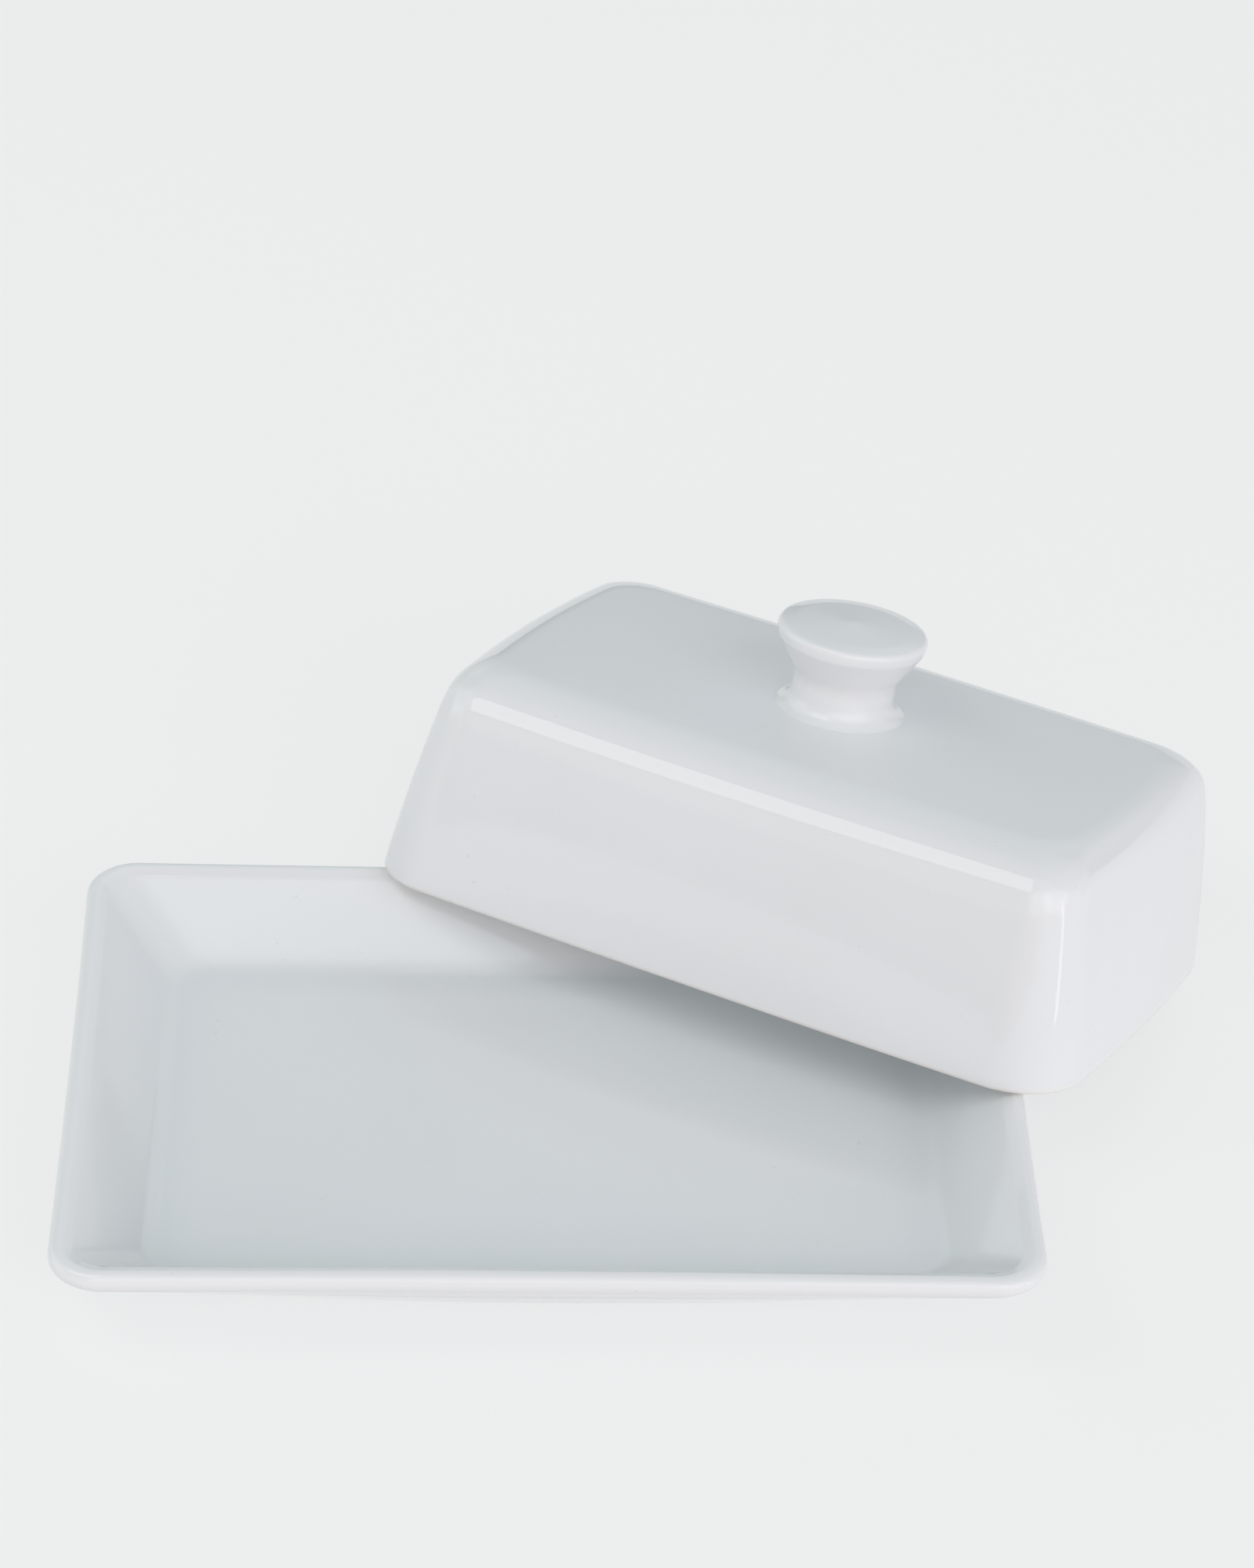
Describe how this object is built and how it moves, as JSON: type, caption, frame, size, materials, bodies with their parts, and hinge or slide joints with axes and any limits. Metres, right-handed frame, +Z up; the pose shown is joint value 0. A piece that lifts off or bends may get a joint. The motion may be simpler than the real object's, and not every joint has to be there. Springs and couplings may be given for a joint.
{
  "type": "butter dish",
  "caption": "White porcelain butter dish: shallow flared rectangular tray, with a box-shaped lid and flared round knob lying askew on its rim.",
  "frame": {"origin": "centre of the tray's foot ring, on the surface that the dish stands on", "axes": "+X along the tray's long side, +Y along its short side towards the corner where the lid lies, +Z up"},
  "size_m": [0.2211, 0.1922, 0.0749],
  "materials": {
    "white_glaze": "clear glossy glaze over white porcelain"
  },
  "bodies": {
    "tray_body": {"tray": "white_glaze"},
    "lid_body": {"lid_cover": "white_glaze", "lid_knob": "white_glaze"}
  },
  "joints": [
    {"name": "lid_lift", "type": "slide", "parent": "tray_body", "child": "lid_body", "axis": [0, 0, 1], "range_m": [0, 0.12]}
  ]
}
